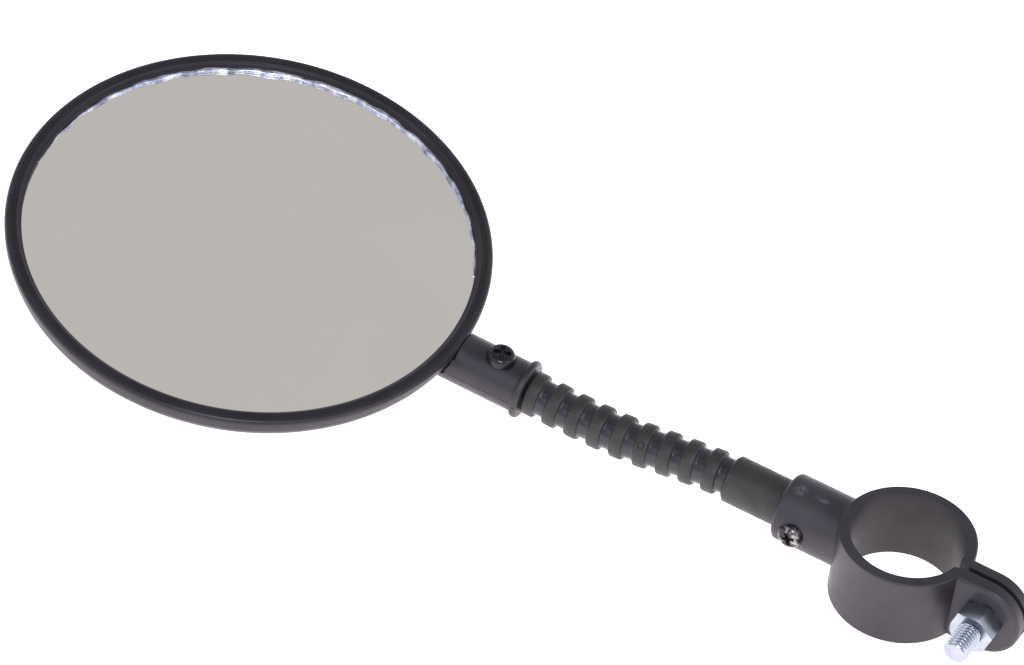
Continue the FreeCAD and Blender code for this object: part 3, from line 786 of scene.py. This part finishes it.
def cross_cutter(place, direction, size, width, depth):
    """Four-winged recess that narrows with depth, as a driver's point does."""
    direction = direction.normalized()
    side, other = axes_along(direction)
    first = side * math.cos(CROSS_TURN) + other * math.sin(CROSS_TURN)
    second = direction.cross(first)
    levels = [(-CROSS_ABOVE, CROSS_MOUTH)]
    levels += [(depth * deep, share) for deep, share in CROSS_NARROWING]
    rows = []
    for level, share in levels:
        row = []
        for wing in range(4):
            angle = math.pi / 2 * wing
            out = first * math.cos(angle) + second * math.sin(angle)
            across = direction.cross(out)
            reach = size / 2 * share
            half = width / 2 * (WING_ROOT + (1 - WING_ROOT) * share)
            centre = place + direction * level
            row += [centre + out * reach - across * half, centre + out * reach + across * half,
                    centre + out * half + across * half]
        rows.append(row)
    return linked("cutter", rows_to_mesh("cutter", rows))


def screw_profile(head_radius, head_height, shank, length):
    """(along, radius) points from the head's top, with a domed crown."""
    crown = head_height * CROWN_SHARE
    shoulder = -head_height + crown * CROWN_DROP
    points = [(-head_height, head_radius * CROWN_TOP), (shoulder, head_radius * CROWN_FLAT)]
    steps = 8
    for k in range(1, steps + 1):
        angle = math.pi / 2 * k / steps
        points.append((shoulder + crown * (1 - CROWN_DROP) * (1 - math.cos(angle)),
                       head_radius * (CROWN_FLAT + (1 - CROWN_FLAT) * math.sin(angle))))
    points += [(-HEAD_EDGE, head_radius), (0, head_radius - HEAD_EDGE), (0, shank),
               (length, shank * SHANK_TAPER)]
    return points


def make_screw(node, name, body, material, direction, head_height, shank):
    """A cross recess screw in the place of its CAD node."""
    top, end, head_radius = turned_extent(node, direction)
    place = top + direction * head_height
    piece = lathe(name, place, direction,
                  screw_profile(head_radius, head_height, shank, (end - place).length))
    span, width, depth = SCREW_CROSS
    cut(piece, cross_cutter(top, direction, head_radius * span, head_radius * width,
                            head_height * depth))
    wear(piece, material)
    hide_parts(node)
    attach(piece, body)


THREAD_PITCH = 0.8 * MM
THREAD_DEPTH = 0.45 * MM
ROWS_PER_PITCH = 12
TOOTH_SLOPE = 1.3
TOOTH_CREST = 0.15
BOLT_SIDES = 64
BOLT_LEAD = 0.5 * MM
LEAD_SLOPE = 0.9
BOLT_LAP = 0.3 * MM
BOLT_RADIUS = 2.45 * MM
BOLT_HEAD_HEIGHT = 3.5 * MM


def make_bolt():
    """Bolt with a helical thread, and a pan head with a cross recess behind the ear."""
    along_y = Vector((0, 1, 0))
    top, end, head_radius = turned_extent("clamp_bolt", along_y)
    start = top + along_y * BOLT_HEAD_HEIGHT
    length = (end - start).length
    steps = int(length / THREAD_PITCH * ROWS_PER_PITCH)
    rows = []
    for step in range(steps + 1):
        along = length * step / steps
        limit = BOLT_RADIUS - max(0.0, along - (length - BOLT_LEAD)) * LEAD_SLOPE

        def radius_at(angle, along=along, limit=limit):
            phase = (along / THREAD_PITCH - angle / (2 * math.pi)) % 1.0
            tooth = abs(2 * phase - 1)
            sunk = min(1.0, max(0.0, TOOTH_SLOPE * tooth - TOOTH_CREST))
            return min(limit, BOLT_RADIUS - THREAD_DEPTH * sunk)
        rows.append(ring_points(start + along_y * along, along_y, radius_at, BOLT_SIDES))
    mesh = rows_to_mesh("bolt_shank", rows)
    shade(mesh, angle=25)
    shank = linked("bolt_shank", mesh)
    head = lathe("bolt_head", start, along_y,
                 screw_profile(head_radius, BOLT_HEAD_HEIGHT, BOLT_RADIUS, BOLT_LAP))
    span, width, depth = BOLT_CROSS
    cut(head, cross_cutter(top, along_y, head_radius * span, head_radius * width,
                           BOLT_HEAD_HEIGHT * depth))
    for piece in (shank, head):
        wear(piece, ZINC)
    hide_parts("clamp_bolt")
    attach(shank, "clamp")
    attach(head, "clamp")


make_screw("socket_set_screw", "socket_screw_head", "clamp", SET_SCREW_STEEL,
           Vector((0, -1, 0)), head_height=1.7 * MM, shank=1.45 * MM)
make_screw("stem_screw", "stem_screw_head", "head", STEM_SCREW_STEEL,
           -HEAD_NORMAL, head_height=2.2 * MM, shank=1.35 * MM)
make_bolt()


# ---------------------------------------------------------------- reflector

CELL_PITCH = 1.8 * MM
CELL_DEPTH = 0.7 * MM
CELL_BORDER = 1.5 * MM
CELL_SEAM = 0.4 * MM
CELL_FILL = 0.985
CELL_GAP = 0.05 * MM
CELL_FLOOR = 0.1 * MM
COVER_THICKNESS = 0.55 * MM
COVER_BEVEL = 0.45 * MM
COVER_INSET = 0.3 * MM
COVER_SIDES = 96


def cell_centres(reach):
    """Hexagonal grid inside the reach, in two halves beside a straight seam."""
    row_height = CELL_PITCH * math.sqrt(3) / 2
    rows = int(reach / row_height) + 1
    columns = int(reach / CELL_PITCH) + 1
    for side in (-1, 1):
        for row in range(-rows, rows + 1):
            shift = CELL_PITCH / 2 if row % 2 else 0.0
            for column in range(columns + 1):
                across = side * (CELL_SEAM / 2 + CELL_PITCH / 2 + shift + column * CELL_PITCH)
                up = row * row_height
                if math.hypot(across, up) < reach - CELL_PITCH / 2:
                    yield across, up


def add_cell(build, centre, side, other, out):
    """One cube corner: three rhombic facets sunk into a hexagonal post."""
    corner_reach = CELL_PITCH / math.sqrt(3) * CELL_FILL
    base, rim = [], []
    for k in range(6):
        angle = math.pi / 6 + math.pi / 3 * k
        flat = centre + side * (math.cos(angle) * corner_reach) + other * (
            math.sin(angle) * corner_reach)
        level = CELL_DEPTH if k % 2 else CELL_DEPTH / 2
        base.append(build.verts.new(flat))
        rim.append(build.verts.new(flat + out * (CELL_FLOOR + level)))
    apex = build.verts.new(centre + out * CELL_FLOOR)
    build.faces.new(list(reversed(base)))
    for k in range(6):
        after = (k + 1) % 6
        build.faces.new((base[k], base[after], rim[after], rim[k]))
    for k in (0, 2, 4):
        build.faces.new((apex, rim[k], rim[k + 1], rim[(k + 2) % 6]))


def make_reflector():
    """Cube corner cells on a pale disc under a clear bevelled cover."""
    out = -HEAD_NORMAL
    back, backing_front, radius = turned_extent("reflector_backing", out)
    lens_front = turned_extent("reflector_lens", out)[1]
    along = (HEAD_AXIS - out * HEAD_AXIS.dot(out)).normalized()
    across = out.cross(along)
    base = backing_front + out * CELL_GAP
    build = bmesh.new()
    for u, v in cell_centres(radius - CELL_BORDER):
        add_cell(build, base + across * u + along * v, across, along, out)
    bmesh.ops.recalc_face_normals(build, faces=build.faces)
    mesh = bpy.data.meshes.new("reflector_cells")
    build.to_mesh(mesh)
    build.free()
    cells = linked("reflector_cells", mesh)
    wear(cells, PRISMS)
    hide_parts("reflector_backing")
    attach(cells, "head")
    disc = lathe("reflector_disc", back, out,
                 [(0, radius), ((backing_front - back).length, radius)])
    wear(disc, PRISMS)
    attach(disc, "head")
    height = (lens_front - backing_front).length
    under = height - COVER_THICKNESS
    cover = lathe("reflector_cover", backing_front, out, [
        (under, radius - COVER_INSET), (under, radius),
        (height - COVER_BEVEL * 0.5, radius - COVER_BEVEL * 0.2),
        (height, radius - COVER_BEVEL)], COVER_SIDES)
    wear(cover, ACRYLIC)
    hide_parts("reflector_lens")
    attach(cover, "head")


make_reflector()


# ---------------------------------------------------------------- studio

FLOOR_REACH = 6.0
FLOOR_GAP = 0.5 * MM
LAMP_DISTANCE = 1.3
LAMP_COLOUR = (0.84, 0.88, 1.0)

# The surround's colours by the upward part of the direction, from the horizon to the zenith.
HORIZON = (0.95, 0.93, 0.93, 1)
ZENITH = (0.2, 0.2, 0.26, 1)
BETWEEN = ((0.25, (0.75, 0.75, 0.85, 1)), (0.5, (0.62, 0.66, 0.9, 1)),
           (0.7, (0.535, 0.515, 0.5, 1)), (0.88, (0.535, 0.515, 0.5, 1)))

# Each lamp's name, azimuth and elevation in degrees, width in metres and power in watts.
LAMPS = (("key", 265, 30, 0.7, 2.5), ("fill", 150, 28, 0.7, 1.5), ("front", 206, 51, 0.45, 7.0))


def make_world():
    """Surround that is bright near the floor and falls off towards the ceiling."""
    world = bpy.data.worlds.new("studio")
    bpy.context.scene.world = world
    world.use_nodes = True
    nodes, links = world.node_tree.nodes, world.node_tree.links
    place = nodes.new("ShaderNodeTexCoord")
    split = nodes.new("ShaderNodeSeparateXYZ")
    ramp = nodes.new("ShaderNodeValToRGB")
    links.new(place.outputs["Generated"], split.inputs["Vector"])
    links.new(split.outputs["Z"], ramp.inputs["Fac"])
    links.new(ramp.outputs["Color"], nodes["Background"].inputs["Color"])
    low, high = ramp.color_ramp.elements
    low.position, low.color = 0.0, HORIZON
    high.position, high.color = 1.0, ZENITH
    for position, colour in BETWEEN:
        ramp.color_ramp.elements.new(position).color = colour


def make_floor():
    """Pale sheet that glows a little, as a lit table does."""
    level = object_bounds()[0].z - FLOOR_GAP
    corners = [(x * FLOOR_REACH, y * FLOOR_REACH, level)
               for x, y in ((-1, -1), (1, -1), (1, 1), (-1, 1))]
    mesh = bpy.data.meshes.new("floor")
    mesh.from_pydata(corners, [], [(0, 1, 2, 3)])
    floor = linked("floor", mesh)
    paper = Material("paper", Roughness=0.9, Emission_Strength=1.25)
    paper.shader.inputs["Emission Color"].default_value = (1, 0.93, 0.93, 1)
    paper.set("Base Color", paper.mix(paper.noise(3, 2), (0.8, 0.8, 0.8), (0.84, 0.84, 0.84)))
    wear(floor, paper.material)
    floor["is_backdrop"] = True


def make_lamps():
    low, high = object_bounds()
    aim = (low + high) / 2
    for name, azimuth, elevation, width, power in LAMPS:
        data = bpy.data.lights.new(name, "AREA")
        data.size = width
        data.energy = power
        data.color = LAMP_COLOUR
        lamp = bpy.data.objects.new(name, data)
        bpy.context.scene.collection.objects.link(lamp)
        away = out_towards(azimuth, elevation)
        lamp.location = aim + away * LAMP_DISTANCE
        lamp.rotation_euler = (-away).to_track_quat("-Z", "Y").to_euler()


def make_camera():
    data = bpy.data.cameras.new("camera")
    data.sensor_width = SENSOR_WIDTH
    data.lens = LENS
    data.clip_end = VIEW_END
    camera = bpy.data.objects.new("camera", data)
    bpy.context.scene.collection.objects.link(camera)
    back = out_towards(VIEW_AZIMUTH, VIEW_ELEVATION)
    turn = (-back).to_track_quat("-Z", "Y").to_matrix().to_4x4()
    turn = turn @ Matrix.Rotation(math.radians(VIEW_ROLL), 4, "Z")
    camera.matrix_world = Matrix.Translation(VIEW_AIM + back * VIEW_DISTANCE) @ turn
    bpy.context.scene.camera = camera


make_world()
make_floor()
make_lamps()
make_camera()
bpy.context.scene.view_settings.view_transform = "Standard"
